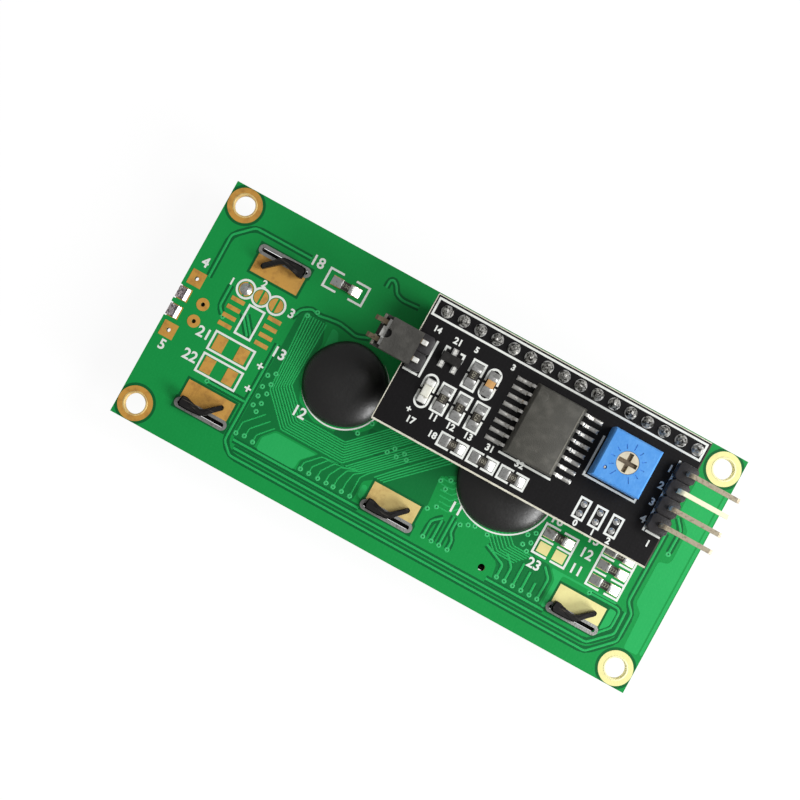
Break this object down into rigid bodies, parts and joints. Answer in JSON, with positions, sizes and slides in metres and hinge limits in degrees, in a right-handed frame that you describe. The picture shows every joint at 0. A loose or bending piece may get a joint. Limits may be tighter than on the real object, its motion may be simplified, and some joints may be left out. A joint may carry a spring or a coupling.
{
  "type": "character lcd module",
  "caption": "Character display module with bezel and glass in front, a green board behind, and a black serial interface board with trimmer and jumper on its header.",
  "frame": {"origin": "middle of the main board's outline, on the plane of the bezel's face, which the module rests on", "axes": "+X along the board's long side towards the cable header's pins, +Y towards the edge with the sixteen-pin header, +Z out of the board's back"},
  "size_m": [0.08, 0.036, 0.0209],
  "materials": {
    "green_board": "satin solder mask over glass laminate",
    "black_board": "satin solder mask over glass laminate",
    "bare_copper": "flashed copper, dull",
    "solder": "tinned, bright",
    "white_print": "matt ink",
    "black_steel": "satin black enamel",
    "display_glass": "polished",
    "polariser": "satin film",
    "striped_rubber": "matt",
    "white_plastic": "moulded",
    "clear_acrylic": "polished",
    "lamp_board": "matt",
    "black_resin": "smooth, glossy",
    "black_ceramic": "glazed top, metal ends",
    "tan_ceramic": "fired, metal ends",
    "black_plastic": "moulded",
    "gold_pins": "flash plated",
    "chip_resin": "moulded, fine grain",
    "tinned_leads": "matt tin",
    "blue_plastic": "moulded",
    "cream_plastic": "moulded",
    "lamp_case": "clear cast",
    "grey_plastic": "moulded"
  },
  "bodies": {
    "root": {"main_board": "green_board", "mount_lands": "bare_copper", "tab_lands": "bare_copper", "slot_rims": "solder", "part_lands": "bare_copper", "board_legend": "white_print", "bezel": "black_steel", "front_polariser": "polariser", "front_glass": "display_glass", "rear_glass": "display_glass", "rear_polariser": "polariser", "upper_rubber_connector": "striped_rubber", "lower_rubber_connector": "striped_rubber", "backlight_tray": "white_plastic", "light_guide": "clear_acrylic", "diffuser_film": "white_plastic", "lamp_strip": "lamp_board", "lamp_leads": "solder", "left_driver_dome": "black_resin", "right_driver_dome": "black_resin", "board_resistor_1": "black_ceramic", "board_resistor_2": "black_ceramic", "board_resistor_3": "black_ceramic", "board_resistor_4": "black_ceramic", "board_resistor_5": "black_ceramic", "board_solder": "solder", "link_header_strip": "black_plastic", "link_header_pins": "gold_pins", "link_solder_upper": "solder", "link_solder_lower": "solder", "interface_board": "black_board", "interface_lands": "solder", "interface_legend": "white_print", "interface_solder": "solder", "underside_solder": "solder", "chip_body": "chip_resin", "chip_leads": "tinned_leads", "trimmer_body": "blue_plastic", "trimmer_pins": "tinned_leads", "power_lamp": "lamp_case", "interface_resistor_1": "black_ceramic", "interface_resistor_2": "black_ceramic", "interface_resistor_3": "black_ceramic", "interface_resistor_4": "black_ceramic", "interface_resistor_5": "black_ceramic", "interface_resistor_6": "black_ceramic", "interface_resistor_7": "black_ceramic", "ceramic_capacitor": "tan_ceramic", "transistor_body": "chip_resin", "transistor_leads": "tinned_leads", "cable_header_strip": "black_plastic", "cable_header_pins": "gold_pins", "lamp_header_strip": "black_plastic", "lamp_header_pins": "gold_pins"},
    "rotor": {"trimmer_rotor": "cream_plastic"},
    "jumper": {"jumper_cap": "grey_plastic", "jumper_contact": "tinned_leads"}
  },
  "joints": [
    {"name": "trimmer_turn", "type": "hinge", "parent": "root", "child": "rotor", "pos_m": [0.02405, 0.00915, 0.0205], "axis": [0, 0, 1], "range_deg": [-120, 120]},
    {"name": "jumper_slide", "type": "slide", "parent": "root", "child": "jumper", "axis": [-1, 0, 0], "range_m": [0, 0.008]}
  ]
}
